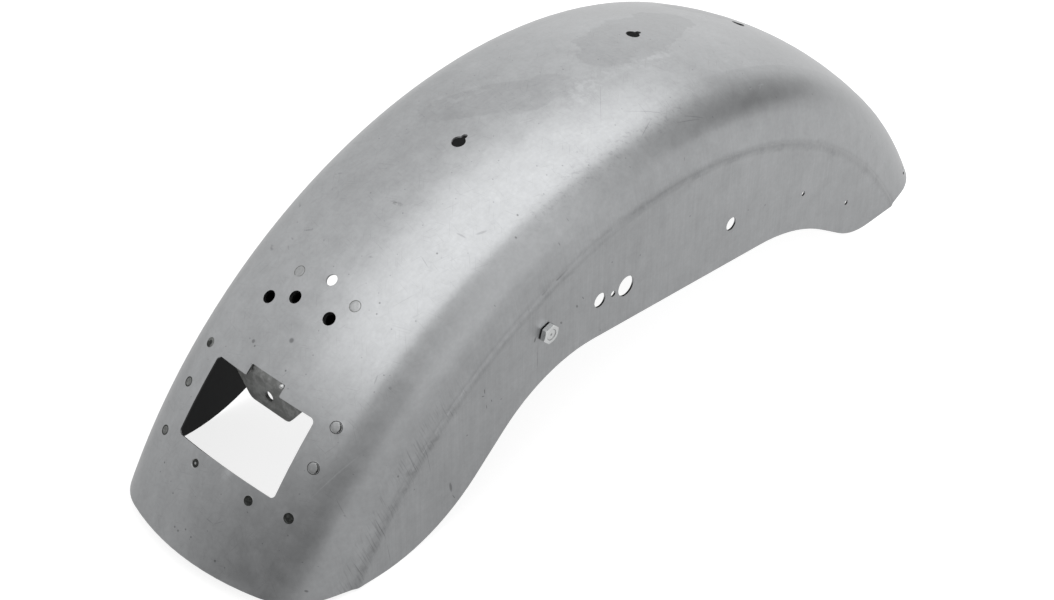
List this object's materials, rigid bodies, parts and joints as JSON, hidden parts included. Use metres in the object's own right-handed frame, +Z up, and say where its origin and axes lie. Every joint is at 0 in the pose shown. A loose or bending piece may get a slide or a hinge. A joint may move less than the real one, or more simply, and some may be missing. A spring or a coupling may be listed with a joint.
{
  "type": "motorcycle rear fender",
  "caption": "Bobbed motorcycle rear fender in bare pressed steel: arched crown with a rear opening, lamp holes and keyhole slots, flat pierced skirts.",
  "frame": {"origin": "middle of the box on the bench that the fender stands on, under the crest", "axes": "+X towards the front of the motorcycle, +Y to its left, +Z up"},
  "size_m": [0.6124, 0.176, 0.19],
  "materials": {
    "bare_sheet": "bare pressed sheet with oil stains and fine scratches",
    "bare_plate": "bare plate, dull",
    "weld": "ground plug weld",
    "weld_bead": "small bright weld bead",
    "nut_steel": "plain steel",
    "bolt_steel": "zinc plated"
  },
  "bodies": {
    "root": {"fender_skin": "bare_sheet", "opening_doubler": "bare_plate", "lamp_bracket": "bare_plate", "doubler_plug_welds": "weld", "bracket_plug_welds": "weld", "tack_weld": "weld_bead", "lamp_nut_left": "nut_steel", "lamp_nut_right": "nut_steel", "lamp_nut_outer": "nut_steel", "side_bolt_right": "bolt_steel", "side_bolt_left": "bolt_steel", "side_nut_right": "bolt_steel", "side_nut_left": "bolt_steel"}
  },
  "joints": []
}
